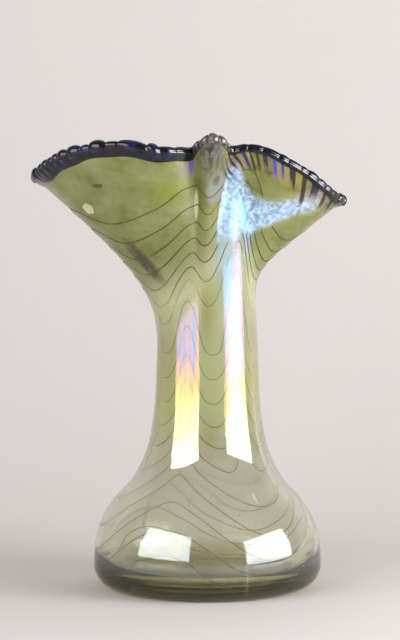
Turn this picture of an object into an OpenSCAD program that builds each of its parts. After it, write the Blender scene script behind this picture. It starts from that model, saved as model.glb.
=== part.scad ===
// Hand blown art glass vase with a combed trail and a folded, crimped mouth.
// Origin: on the axis, at the plane the vase rests on. +Z is up, and -Y is the front,
// where the mouth folds into a narrow pleat between its left and right lobes.
// An angle round the vase is measured from the front, positive towards +X.

/* [Bulb and neck] */
// Outer radius of the flat ring that the vase rests on
foot_r = 56; // [52:0.5:58]
// Greatest radius of the bulb
bulb_r = 70.6; // [66:0.2:76]
// Height at which the bulb is widest
bulb_z = 18; // [16:0.5:22]
// Radius of the neck at its waist
waist_r = 31.2; // [28:0.2:35]
// Height of the waist, where the neck starts to open into the mouth
waist_z = 150; // [145:1:156]

/* [Glass] */
// Thickness of the glass in the bulb and neck
wall = 3.4; // [2.6:0.1:4]
// Thickness of the glass at the lip
lip_wall = 2.4; // [2:0.1:3]
// Thickness of the floor of the bulb
floor_t = 9; // [7:0.5:11]
// Height of the hollow under the base, at its middle
kick_up = 2.6; // [1.5:0.1:4]
// Radius of the ground pontil mark
pontil_r = 14; // [10:1:18]

/* [Mouth] */
// Scale of the spread of the lip about the neck
mouth_spread = 1; // [0.9:0.01:1.04]
// Scale of the depth of the creases
crease_scale = 1; // [0.5:0.05:1.05]

/* [Lip wrap] */
// Width of the wrap down the outside of the left lobe
wrap_w = 8.5; // [6:0.5:12]
// Extra width of the wrap on the right lobe, where it was drawn down
wrap_extra = 5; // [0:0.5:10]
// Thickness of the wrap on the outside of the glass
wrap_t = 1.6; // [1.2:0.1:2.2]
// How far the crimps rise above the lip
crimp_h = 2.4; // [1.6:0.1:3]

/* [Trail] */
// Height from turn to turn on the bulb and neck
turn_pitch = 15; // [12:0.5:15]
// Height from turn to turn on the flare
flare_pitch = 9; // [7:0.5:9]
// Width of the trail
trail_w = 1.2; // [0.8:0.1:1.6]
// How far the trail stands proud
trail_t = 0.5; // [0.3:0.05:0.7]

/* [Hidden] */

// Turned part: outside outline from the resting ring up to the waist, as [radius, height]
SHOULDER = [
    [foot_r, 0], [bulb_r - 6, 2.6], [bulb_r - 1, bulb_z / 2], [bulb_r, bulb_z],
    [bulb_r - 2.4, 2 * bulb_z], [59.6, 53], [46.6, 68], [38.8, 83],
    [waist_r + 3.7, 98], [waist_r + 1.3, 118], [waist_r, waist_z]];
// Inside outline, from the middle of the floor up to the waist
INSIDE = [
    [0, floor_t + kick_up - 1], [foot_r - 16, floor_t + 0.6], [foot_r, floor_t + 1],
    [bulb_r - 6.4, floor_t + 5.6], [bulb_r - wall, bulb_z + 5],
    [bulb_r - wall - 2.8, 2 * bulb_z + 1], [56.4, 52], [43.9, 66], [35.6, 82],
    [waist_r - wall + 3.5, 97.4], [waist_r - wall + 1.3, 117.8], [waist_r - wall, waist_z]];
STEPS = 5;      // points between two control points of an outline

// Mouth: values every 20 degrees round the vase, from the back by way of the left lobe
RING_STEP = 20;
LIP_R = [60, 64, 79, 95.5, 105, 106, 99.5, 87, 70, 63, 51, 55, 67, 80.5, 83, 78, 69, 62];
LIP_Z = [266, 264, 262, 258, 253, 256.5, 268.5, 275, 272, 279,
    274, 271, 259, 242.5, 239, 246, 256, 263];
// The knee of the flare: its radius, its height and how tightly the wall turns there
KNEE_R = [31, 31, 31, 31, 31, 31, 31, 31, 31, 30.8, 30.4, 30, 29.6, 29.4, 29.6, 30, 30.4, 31];
KNEE_Z = [194, 192, 190, 189, 188, 188, 190, 198, 206, 216,
    240, 234, 208, 197, 197, 197, 197, 196];
KNEE_BEND = [0.95, 0.9, 0.87, 0.85, 0.85, 0.85, 0.86, 0.92, 0.98, 1,
    1.05, 1.06, 1.1, 1.16, 1.14, 1.06, 1, 0.97];
// Swell under the lip: its angle, half width in degrees, how far it stands out, where it is
// between waist (0) and lip (1), and its half height there
SWELL = [24, 18, 3.5, 0.41, 0.17];
// Creases at the lip: angle, half width in degrees, depth, and how far the lip dips
CREASES = [[-10, 6, 14, 4], [18, 6, 5, 3], [172, 7, 12, 3], [-164, 7, 12, 3]];

AROUND = 144;            // points round the mouth and the wrap, two to a crimp
ROWS = 13;               // rows up the mouth
JOIN = 0.1;              // how far the foot of the flare stands inside the neck's wall
JOIN_DEPTH = 0.5;        // how far it goes down into the wall
FLARE_H = 100;           // the flare's share of a trail height, from the waist to the lip
AROUND_TRAIL = 80;       // points round a turn of the trail

function blend(a, b, c, d, f) =
    0.5 * (2 * b + (c - a) * f + (2 * a - 5 * b + 4 * c - d) * f * f + (3 * b - a - 3 * c + d) * f ^ 3);
function outline(p) = let (last = len(p) - 1) [
    for (i = [0 : last - 1], k = [0 : STEPS - 1])
        blend(p[max(i - 1, 0)], p[i], p[i + 1], p[min(i + 2, last)], k / STEPS),
    p[last]];
function ring_value(list, a) = let (
    n = len(list), u = (a + 180) / RING_STEP, i = floor(u))
    blend(list[(i - 1 + n) % n], list[(i + n) % n], list[(i + 1 + n) % n], list[(i + 2 + n) % n], u - i);
function turned(a) = a - 360 * floor((a + 180) / 360);
function step_up(lo, hi, v) = let (f = min(max((v - lo) / (hi - lo), 0), 1)) f * f * (3 - 2 * f);

// How deep all creases together cut at angle a; column 2 is the depth, 3 is the dip
function crease(a, column) = crease_scale * [for (c = CREASES)
    c[column] * exp(-(turned(a - c[0]) / c[1]) ^ 2)] * [for (c = CREASES) 1];
function lip(a) = [
    waist_r + mouth_spread * (ring_value(LIP_R, a) - crease(a, 2) - waist_r),
    ring_value(LIP_Z, a) - crease(a, 3)];
function swell(a, t) = SWELL[2]
    * exp(-(turned(a - SWELL[0]) / SWELL[1]) ^ 2) * exp(-((t - SWELL[3]) / SWELL[4]) ^ 2);
// Radius and height of the outside of the flare, at angle a and t from waist (0) to lip (1)
function flare(a, t) = let (
    foot = [waist_r, waist_z], edge = lip(a), bend = ring_value(KNEE_BEND, a),
    knee = [ring_value(KNEE_R, a), ring_value(KNEE_Z, a)],
    low = foot + bend * (knee - foot), high = edge + bend * (knee - edge))
    (1 - t) ^ 3 * foot + 3 * (1 - t) ^ 2 * t * low + 3 * (1 - t) * t ^ 2 * high + t ^ 3 * edge
    + [swell(a, t), 0];
function place(a, rz) = [rz[0] * sin(a), -rz[0] * cos(a), rz[1]];

NECK_TABLE = [for (p = outline(SHOULDER)) [p[1], p[0]]];
// A point on the outside of the glass, at angle a and trail height s
function skin(a, s) = s <= waist_z
    ? place(a, [lookup(s, NECK_TABLE), s])
    : place(a, flare(a, (s - waist_z) / FLARE_H));
function outward(a, s) = let (
    n = cross(skin(a + 0.5, s) - skin(a - 0.5, s), skin(a, s + 0.5) - skin(a, s - 0.5)))
    n / norm(n);
function off_skin(a, s, d) = skin(a, s) + d * outward(a, s);

// Faces of a closed band of rings, each ring a list of n points; the last joins the first
function band_faces(rings, n) = [for (i = [0 : rings - 1], k = [0 : n - 1])
    let (a = i * n, b = ((i + 1) % rings) * n, m = (k + 1) % n)
        each [[a + k, b + k, a + m], [a + m, b + k, b + m]]];

module band(rows) {
    n = len(rows[0]);
    polyhedron(points = [for (r = rows) each r], faces = band_faces(len(rows), n));
}

// Wall of the flare: up the outside, over the rounded lip and down the inside
function flare_row(t, depth) = [for (k = [0 : AROUND - 1]) let (a = k * 360 / AROUND - 180)
    off_skin(a, waist_z + t * FLARE_H, -depth)];
function glass_at(t) = wall + (lip_wall - wall) * step_up(0, 1, t);
function flare_foot(r, z) = [for (k = [0 : AROUND - 1])
    place(k * 360 / AROUND - 180, [r, z])];

module flared_mouth() {
    band([
        flare_foot(waist_r - JOIN, waist_z - JOIN_DEPTH),
        flare_foot(waist_r - JOIN, waist_z),
        for (i = [1 : ROWS]) flare_row(i / ROWS, 0),
        [for (p = flare_row(1, lip_wall / 2)) p + [0, 0, 1]],
        for (i = [ROWS : -1 : 1]) flare_row(i / ROWS, glass_at(i / ROWS)),
        flare_foot(waist_r - wall + JOIN, waist_z),
        flare_foot(waist_r - wall + JOIN, waist_z - JOIN_DEPTH)]);
}

module turned_body() {
    outside = outline(SHOULDER);
    inside = outline(INSIDE);
    ring_in = foot_r - 8;
    underside = [[0, kick_up + 0.8], [pontil_r - 0.6, kick_up + 0.4], [pontil_r, kick_up],
        [ring_in - 16, kick_up * 0.75], [ring_in - 4, 0.6], [ring_in, 0]];
    rotate_extrude($fn = 144) polygon([
        each underside, each outside, for (i = [len(inside) - 1 : -1 : 0]) inside[i]]);
}

module body() color([0.62, 0.66, 0.46, 0.55]) union() {
    turned_body();
    flared_mouth();
}

// The wrap: a coil of dark glass laid round the lip, pinched into crimps all the way
function wrap_width(a) = wrap_w + wrap_extra * step_up(12, 45, turned(a)) * (1 - step_up(95, 130, turned(a)));
function wrap_rings(k) = let (
    a = k * 360 / AROUND - 180, w = wrap_width(a), bump = k % 2,
    top = waist_z + FLARE_H, e = outward(a, top),
    up = skin(a, top) - skin(a, top - 1), u = up / norm(up),
    edge = skin(a, top), back = edge - lip_wall * e)
    // each point is given by how far it lies along the wall from the lip, and off it
    [for (q = [
        [-w, 0], [-w + 0.8, 0.6 * wrap_t], [-w / 2, wrap_t],
        [-1, wrap_t + 0.7 * bump], [crimp_h * (0.45 + 0.55 * bump), wrap_t * 0.5 + 0.8 * bump]])
        edge + q[0] * u + q[1] * e,
        back + crimp_h * (0.4 + 0.5 * bump) * u - 0.2 * e,
        back - 0.6 * u - 1.0 * e,
        back - 3 * u,
        (edge + back) / 2 + [0, 0, 1],
        edge];

module lip_wrap() color([0.10, 0.10, 0.20]) {
    columns = [for (k = [0 : AROUND - 1]) wrap_rings(k)];
    band([for (j = [0 : len(columns[0]) - 1]) [for (c = columns) c[j]]]);
}

// One turn of the trail, drawn up and down by the comb into festoons
function turn_height(i) = i <= 12 ? 12 + turn_pitch * (i - 1) : 12 + turn_pitch * 11 + flare_pitch * (i - 12);
// The bulb is combed in three festoons, and the neck and mouth in six. Their troughs stand 60
// degrees apart, one of them at +6; the crest before it drifts from -24 to the mouth's crease.
function comb(a, s) = let (
    low = min(17, 0.7 * s) * (1 - step_up(50, 120, s)),
    high = 15 * step_up(45, 115, s) - 9 * step_up(145, 200, s),
    crest = -24 + 14 * step_up(165, 230, s),
    u = a <= -54 || a >= 6 ? 6 * (a - 36) : 180 * (a - crest) / (a < crest ? crest + 54 : 6 - crest))
    low * cos(3 * (a + 23)) + high * cos(u + 25 * sin(u));
// Trail height at angle a of the turn that was wound at height base
function combed(a, base, tries = 8) =
    tries == 0 ? base : base + comb(a, combed(a, base, tries - 1));

module thread(i) color([0.30, 0.29, 0.14]) {
    half = trail_w / 2;
    base = turn_height(i);
    // points along the turn, each on the skin of the glass
    path = [for (k = [0 : AROUND_TRAIL - 1]) let (a = k * 360 / AROUND_TRAIL - 180)
        [a, max(combed(a, base), 3.5)]];
    columns = [for (k = [0 : AROUND_TRAIL - 1]) let (
        p = path[k], before = path[(k - 1 + AROUND_TRAIL) % AROUND_TRAIL],
        after = path[(k + 1) % AROUND_TRAIL], e = outward(p[0], p[1]),
        along = skin(after[0], after[1]) - skin(before[0], before[1]),
        side = cross(e, along), w = half * side / norm(side), at = skin(p[0], p[1]))
        [at - w + 0.05 * e, at + trail_t * e, at + w + 0.05 * e]];
    band([for (j = [0 : 2]) [for (c = columns) c[j]]]);
}

// A flat bead of glass lying on the skin, of the given size across, up and proud
module bead(a, s, size, tilt = 0) {
    e = outward(a, s);
    lean = acos(e[2]);
    face = atan2(e[1], e[0]);
    translate(off_skin(a, s, size[2])) rotate([0, lean, face]) rotate([0, 0, tilt])
        bead_shape(size);
}

module bead_shape(size) {
    rounds = 24;
    layers = [[0.75, -0.8], [1, -0.1], [0.86, 0.5], [0.4, 0.93]];
    polyhedron(
        points = [for (l = layers, k = [0 : rounds - 1]) let (a = k * 360 / rounds)
            [l[0] * size[1] / 2 * cos(a), l[0] * size[0] / 2 * sin(a), l[1] * size[2]]],
        faces = [
            [for (k = [rounds - 1 : -1 : 0]) k],
            for (i = [0 : len(layers) - 2], k = [0 : rounds - 1])
                let (a = i * rounds, b = a + rounds, m = (k + 1) % rounds)
                    each [[a + k, a + m, b + k], [a + m, b + m, b + k]],
            [for (k = [0 : rounds - 1]) (len(layers) - 1) * rounds + k]]);
}

module dark_chip() color([0.25, 0.26, 0.14]) bead(-55.4, 239.5, [6.2, 3.4, 0.6]);
module pale_chip() color([0.80, 0.80, 0.66]) bead(-69, 234, [8, 9, 0.5]);
module dark_smear() color([0.26, 0.22, 0.20]) {
    bead(-60.5, 213, [3, 11, 0.5], 20);
    bead(-54.5, 200, [2.6, 12, 0.5], 20);
}

body();
lip_wrap();
thread(1);  // thread_01
thread(2);  // thread_02
thread(3);  // thread_03
thread(4);  // thread_04
thread(5);  // thread_05
thread(6);  // thread_06
thread(7);  // thread_07
thread(8);  // thread_08
thread(9);  // thread_09
thread(10);  // thread_10
thread(11);  // thread_11
thread(12);  // thread_12
thread(13);  // thread_13
thread(14);  // thread_14
thread(15);  // thread_15
thread(16);  // thread_16
thread(17);  // thread_17
thread(18);  // thread_18
dark_chip();
pale_chip();
dark_smear();
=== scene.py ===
"""Hand blown art glass vase with a combed trail and a folded, crimped mouth.

Heights, radii and widths of the vessel are worked out in millimetres and turned to metres when
a mesh is made. An angle round the vase is in degrees from the front (-Y), positive towards +X.
The rise is the height of a point on the turned part, and goes on from there to 250 at the lip.
"""

import math

import bpy
import numpy as np
from bpy.props import FloatProperty, FloatVectorProperty, IntProperty, PointerProperty
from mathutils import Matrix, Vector


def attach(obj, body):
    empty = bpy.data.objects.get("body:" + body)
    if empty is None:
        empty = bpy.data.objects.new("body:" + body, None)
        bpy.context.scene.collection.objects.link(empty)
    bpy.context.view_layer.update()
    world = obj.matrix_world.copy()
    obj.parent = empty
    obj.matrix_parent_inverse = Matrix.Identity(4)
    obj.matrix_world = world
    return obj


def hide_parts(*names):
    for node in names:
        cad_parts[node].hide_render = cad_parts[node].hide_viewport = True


bl_info = {
    "name": "Blown Glass Vase",
    "version": (1, 0, 0),
    "blender": (4, 5, 0),
    "location": "3D View > Sidebar > Vase",
    "description": "Builds a blown glass vase with a combed trail around its packed frame",
    "category": "Object",
}

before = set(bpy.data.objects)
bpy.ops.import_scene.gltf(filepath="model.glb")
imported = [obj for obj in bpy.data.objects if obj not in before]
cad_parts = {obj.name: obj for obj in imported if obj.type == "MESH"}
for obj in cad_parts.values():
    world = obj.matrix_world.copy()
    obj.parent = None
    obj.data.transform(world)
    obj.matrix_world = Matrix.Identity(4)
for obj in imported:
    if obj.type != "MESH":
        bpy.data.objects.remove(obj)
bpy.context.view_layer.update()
THREADS = sorted(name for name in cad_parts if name.startswith("thread_"))
MM = 0.001

# Mouth: values every 20 degrees round the vase, from the back by way of the left lobe
RING_STEP = 20
LIP_R = [60, 64, 79, 95.5, 105, 106, 99.5, 87, 70, 63, 51, 55, 67, 80.5, 83, 78, 69, 62]
LIP_Z = [266, 264, 262, 258, 253, 256.5, 268.5, 275, 272, 279, 274, 271, 259, 242.5, 239, 246, 256, 263]
KNEE_R = [31, 31, 31, 31, 31, 31, 31, 31, 31, 30.8, 30.4, 30, 29.6, 29.4, 29.6, 30, 30.4, 31]
KNEE_Z = [194, 192, 190, 189, 188, 188, 190, 198, 206, 216, 240, 234, 208, 197, 197, 197, 197, 196]
KNEE_BEND = [
    0.95, 0.9, 0.87, 0.85, 0.85, 0.85, 0.86, 0.92, 0.98, 1, 1.05, 1.06, 1.1, 1.16, 1.14, 1.06, 1, 0.97
]
# Swell under the lip: its angle, half width in degrees, how far it stands out, where it is
# between waist (0) and lip (1), and its half height there
SWELL = (24, 18, 3.5, 0.41, 0.17)
# Creases at the lip: angle, half width in degrees, depth, and how far the lip dips
CREASES = [(-10, 6, 14, 4), (18, 6, 5, 3), (172, 7, 12, 3), (-164, 7, 12, 3)]
FLARE_RISE = 100  # how much of the rise the flare takes
FULL_RISE = 250  # the rise at the lip

# A painted sheen on the front right: the reflection of the right softbox, painted into the glass's colour
# (angle, rise): its lower and its upper edge
PAINTED_SHEEN_FOOT = [(7, 192), (15, 188), (29, 184), (50, 201), (56, 217), (64, 229), (70, 238), (80, 246)]
PAINTED_SHEEN_TOP = [
    (7, 190), (11, 208), (15, 226), (20, 238), (25, 239), (36, 224), (45, 224), (56, 233),
    (64, 241), (72, 246), (80, 245),
]
# How far down the tongues of dark glass reach from the wrap on the right lobe (angle, rise)
TONGUE_FOOT = [(10, 232), (22, 224), (34, 228), (48, 235), (62, 238), (76, 241), (100, 246)]
# Length of the crimps, and width of the wrap, as a share of the usual (angle, share)
CRIMP_SPACING = [
    (-180, 1.1), (-120, 0.8), (-90, 0.7), (-60, 1.0), (-30, 1.6), (0, 1.1), (30, 1.3), (60, 1.1),
    (90, 0.75), (120, 0.85), (180, 1.1),
]
WRAP_SHARE = [
    (-180, 0.7), (-110, 0.9), (-85, 1.0), (-20, 0.95), (-12, 0.75), (20, 0.32), (60, 0.3),
    (85, 0.5), (110, 0.7), (180, 0.7),
]
SHARD_PROUD = 0.25  # how far a shard stands off the skin
THICKEST_FILM = 400.0  # nanometres; a ramp ends at 1, so it gives the film as a share of this
SENSOR_MM = 36


# ---------------------------------------------------------------- shape of the glass


def blend(a, b, c, d, f):
    """The smooth curve between b and c that also heeds the values a and d on either side."""
    bend = (2 * a - 5 * b + 4 * c - d) * f**2 + (3 * b - a - 3 * c + d) * f**3
    return 0.5 * (2 * b + (c - a) * f + bend)


def outline(points, steps):
    """A smooth outline through the points, with that many steps between two of them."""
    p = np.array(points, float)
    last = len(p) - 1
    f = (np.arange(steps) / steps)[:, None]
    runs = [blend(p[max(i - 1, 0)], p[i], p[i + 1], p[min(i + 2, last)], f) for i in range(last)]
    return np.vstack([*runs, p[last:]])


def ring_value(values, angle):
    """A value given every RING_STEP degrees, smoothly in between."""
    v = np.array(values, float)
    u = (np.asarray(angle, float) + 180) / RING_STEP
    i = np.floor(u).astype(int)
    n = len(v)
    return blend(v[(i - 1) % n], v[i % n], v[(i + 1) % n], v[(i + 2) % n], u - i)


def turned(angle):
    """The same direction, from -180 to 180 degrees."""
    return (np.asarray(angle, float) + 180) % 360 - 180


def step_up(low, high, value):
    """0 below low, 1 above high and smooth in between."""
    f = np.clip((np.asarray(value, float) - low) / (high - low), 0, 1)
    return f * f * (3 - 2 * f)


def place(angle, radius, height):
    """Points at an angle round the axis."""
    a = np.radians(angle)
    return np.stack(np.broadcast_arrays(radius * np.sin(a), -radius * np.cos(a), height), -1)


def all_round(count):
    """That many angles evenly round the vase, from the back."""
    return np.arange(count) * 360 / count - 180


def from_table(table, angle):
    """A value at an angle, straight between those of a table."""
    return np.interp(angle, *np.transpose(table))


def unit(vectors):
    """The same directions, one long."""
    return vectors / np.linalg.norm(vectors, axis=-1, keepdims=True)


class Skin:
    """The outside of the glass, by the rules that the frame's own body follows."""

    def __init__(self, size):
        self.foot_r = size.foot_radius / MM
        self.bulb_r = size.bulb_radius / MM
        self.bulb_z = size.bulb_height / MM
        self.waist_r = size.waist_radius / MM
        self.waist_z = size.waist_height / MM
        self.wall = size.wall / MM
        self.lip_wall = size.lip_wall / MM
        self.floor_t = size.floor_thickness / MM
        self.kick_up = size.kick_up / MM
        self.pontil_r = size.pontil_radius / MM
        self.spread = size.mouth_spread
        self.creasing = size.crease_scale
        r, z = self.bulb_r, self.bulb_z
        # radius and height of the turned part: outside from the foot up, inside from the axis out
        shoulder = [
            [self.foot_r, 0], [r - 6, 2.6], [r - 1, z / 2], [r, z], [r - 2.4, 2 * z],
            [59.6, 53], [46.6, 68], [38.8, 83],
            [self.waist_r + 3.7, 98], [self.waist_r + 1.3, 118], [self.waist_r, self.waist_z],
        ]
        self.shoulder = outline(shoulder, 8)
        inner_r = r - self.wall
        inner_waist = self.waist_r - self.wall
        inside = [
            [0, self.floor_t + self.kick_up - 1], [self.foot_r - 16, self.floor_t + 0.6],
            [self.foot_r, self.floor_t + 1], [r - 6.4, self.floor_t + 5.6],
            [inner_r, z + 5], [inner_r - 2.8, 2 * z + 1], [56.4, 52], [43.9, 66], [35.6, 82],
            [inner_waist + 3.5, 97.4], [inner_waist + 1.3, 117.8], [inner_waist, self.waist_z],
        ]
        self.inside = outline(inside, 6)

    def crease(self, angle, column):
        """How deep all creases together cut (column 2), or how far the lip dips there (3)."""
        cuts = [c[column] * np.exp(-((turned(angle - c[0]) / c[1]) ** 2)) for c in CREASES]
        return self.creasing * sum(cuts)

    def lip(self, angle):
        """Radius and height of the lip."""
        reach = ring_value(LIP_R, angle) - self.crease(angle, 2) - self.waist_r
        return self.waist_r + self.spread * reach, ring_value(LIP_Z, angle) - self.crease(angle, 3)

    def point(self, angle, rise):
        """Points on the outside of the glass."""
        angle, rise = np.broadcast_arrays(np.asarray(angle, float), np.asarray(rise, float))
        low_r = np.interp(rise, self.shoulder[:, 1], self.shoulder[:, 0])
        t = np.maximum((rise - self.waist_z) / FLARE_RISE, 0)
        edge_r, edge_z = self.lip(angle)
        knee_r = ring_value(KNEE_R, angle)
        knee_z = ring_value(KNEE_Z, angle)
        bend = ring_value(KNEE_BEND, angle)
        s = 1 - t
        high = []
        for foot, knee, edge in ((self.waist_r, knee_r, edge_r), (self.waist_z, knee_z, edge_z)):
            near = foot + bend * (knee - foot)
            far = edge + bend * (knee - edge)
            high.append(s**3 * foot + 3 * s * s * t * near + 3 * s * t * t * far + t**3 * edge)
        aside = turned(angle - SWELL[0]) / SWELL[1]
        high[0] += SWELL[2] * np.exp(-(aside**2)) * np.exp(-(((t - SWELL[3]) / SWELL[4]) ** 2))
        on_turned_part = rise <= self.waist_z
        r = np.where(on_turned_part, low_r, high[0])
        z = np.where(on_turned_part, rise, high[1])
        return place(angle, r, z)

    def normal(self, angle, rise):
        """Directions straight out of the glass."""
        around = self.point(angle + 0.5, rise) - self.point(angle - 0.5, rise)
        upward = self.point(angle, rise + 0.5) - self.point(angle, rise - 0.5)
        return unit(np.cross(around, upward))

    def off(self, angle, rise, distance):
        """Points off the outside of the glass, or inside it where the distance is negative."""
        return self.point(angle, rise) + np.asarray(distance)[..., None] * self.normal(angle, rise)

    def glass_at(self, rise):
        """Thickness of the glass."""
        return self.wall + (self.lip_wall - self.wall) * step_up(self.waist_z, FULL_RISE, rise)


# ---------------------------------------------------------------- meshes


def new_object(name, mesh):
    """An object in the scene, at the origin."""
    made = bpy.data.objects.new(name, mesh)
    bpy.context.scene.collection.objects.link(made)
    return made


def ring_faces(rows, columns, closed=False):
    """Quads between rows of points that run round the vase, facing outwards where rows rise."""
    last = rows if closed else rows - 1
    i, k = np.meshgrid(np.arange(last), np.arange(columns), indexing="ij")
    up, beside = (i + 1) % rows, (k + 1) % columns
    quads = [i * columns + k, i * columns + beside, up * columns + beside, up * columns + k]
    return np.stack(quads, -1).reshape(-1, 4).tolist()


def cap_faces(rows, columns):
    """Triangles that close the first and the last row onto two poles, which follow all rows."""
    low, high = rows * columns, rows * columns + 1
    last = (rows - 1) * columns
    under = [[low, (k + 1) % columns, k] for k in range(columns)]
    return under + [[high, last + k, last + (k + 1) % columns] for k in range(columns)]


def smooth_mesh(name, points, faces, values=None):
    """A smooth mesh in metres from points in millimetres, with a number or vector at each point."""
    mesh = bpy.data.meshes.new(name)
    mesh.from_pydata((np.asarray(points) * MM).tolist(), [], faces)
    for label, value in (values or {}).items():
        value = np.asarray(value, np.float32)
        kind, field = ("FLOAT", "value") if value.ndim == 1 else ("FLOAT_VECTOR", "vector")
        mesh.attributes.new(label, kind, "POINT").data.foreach_set(field, value.ravel())
    mesh.shade_smooth()
    mesh.validate()
    return mesh


def finish_piece(piece, nodes):
    """Joins a piece to the body, and hides the frame's solids that it stands for."""
    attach(piece, "root")
    if nodes:
        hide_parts(*nodes)


# ---------------------------------------------------------------- node trees


def plug(tree, target, links):
    """Sets a node's inputs, given by label or in order: each a value, an output or a node.

    A node stands for its first output that is in use.
    """
    for label, value in links.items() if isinstance(links, dict) else enumerate(links):
        if isinstance(value, bpy.types.Node):
            value = next(output for output in value.outputs if output.enabled)
        if isinstance(value, bpy.types.NodeSocket):
            tree.links.new(value, target.inputs[label])
        else:
            target.inputs[label].default_value = value


def node(tree, kind, links=(), stops=(), easing="EASE", **settings):
    """Adds a node with its links and settings; stops and easing are for a colour ramp.

    A stop is a position and a colour, which is linear with alpha, or a number from 0 to 1.
    """
    made = tree.nodes.new(kind)
    for label, value in settings.items():
        setattr(made, label, value)
    if stops:
        made.color_ramp.interpolation = easing
        elements = made.color_ramp.elements
        while len(elements) < len(stops):
            elements.new(0.5)
        for element, (along, shade) in zip(elements, stops):
            element.position = along
            element.color = [shade] * 3 + [1] if isinstance(shade, (int, float)) else shade
    plug(tree, made, links)
    return made


def linear(colour):
    """A linear colour with alpha from an sRGB hex value such as #7f8553."""
    parts = [int(colour[i : i + 2], 16) / 255 for i in (1, 3, 5)]
    return [c / 12.92 if c <= 0.04045 else ((c + 0.055) / 1.055) ** 2.4 for c in parts] + [1.0]


def opaque(colour):
    """A property's colour with full alpha."""
    return list(colour) + [1.0]


def new_material(name):
    """A material with nothing in it but its Principled shader, its node tree and that shader."""
    material = bpy.data.materials.new(name)
    material.use_nodes = True
    shader = next(n for n in material.node_tree.nodes if n.type == "BSDF_PRINCIPLED")
    return material, material.node_tree, shader


def speckle(tree, where, size_mm, detail=2.0, stretch=(1, 1, 1), roughness=0.5):
    """Soft noise whose lumps are about size_mm across, drawn out along the axes by stretch."""
    scaled = node(tree, "ShaderNodeMapping", {"Vector": where, "Scale": [1 / s for s in stretch]})
    links = {
        "Vector": scaled.outputs["Vector"],
        "Scale": 0.5 / (size_mm * MM),
        "Detail": detail,
        "Roughness": roughness,
    }
    return node(tree, "ShaderNodeTexNoise", links).outputs["Fac"]


def patch(tree, where, centre, size, turn=(0, 0, 0)):
    """1 at a place in millimetres, falling to 0 at an ellipsoid's skin of that half size."""
    links = {
        "Vector": where,
        "Location": [c * MM for c in centre],
        "Rotation": [math.radians(t) for t in turn],
        "Scale": [s * MM for s in size],
    }
    moved = node(tree, "ShaderNodeMapping", links, vector_type="TEXTURE")
    links = {"Vector": moved}
    return node(tree, "ShaderNodeTexGradient", links, gradient_type="SPHERICAL").outputs["Fac"]


# ---------------------------------------------------------------- materials


# Where the colours gather on the mouth, with a painted highlight along the left crease and the lustre's
# violet
# painted in as painted sheen: name, middle and half size in millimetres, lean, colour, and how sharp the
# edge is
GATHERS = [
    ("warm streak", (0, -31, 176), (7, 8, 30), 0, "#b7aa4c", 0.7),
    ("warm streak below", (1, -35, 98), (8, 8, 17), 0, "#c2b264", 0.6),
    ("warm fold", (9, -38, 240), (9, 12, 26), 0, "#a08a3a", 1.2),
    ("acid patch", (-24, -52, 247), (17, 14, 12), 0, "#9cab3a", 0.8),
    ("smoke", (-38, -26, 203), (4.6, 11, 21), -42, "#4d4534", 1.5),
    ("eye rim", (5.4, -44, 249), (9.6, 11, 15), 0, "#8c8a52", 3.0),
    ("eye", (5.4, -44, 249), (8.0, 10, 12.5), 0, "#9da39f", 3.0),
    ("pupil", (5.6, -46.5, 253.5), (3.4, 5, 4.2), 0, "#6f664c", 1.8),
    # painted highlight: the cream line where the left crease catches the light of a softbox
    ("painted crease highlight", (-6.8, -41, 239), (1.5, 9, 11), 0, "#f1eec4", 3.0),
    # painted sheen: violet that the lustre shows in reflection, painted into the colour in four places
    ("left violet", (-10, -50, 263), (2.6, 9, 9), 0, "#8a5fd0", 1.5),
    ("far left violet", (-16, -52, 261), (2.4, 9, 7), 0, "#9a80a0", 1.0),
    ("right violet", (15, -40, 264), (3.4, 9, 10), 0, "#6a52d8", 1.6),
    ("tip violet", (64, -23, 245), (6, 9, 6), 40, "#5b55e0", 1.6),
]


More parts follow.
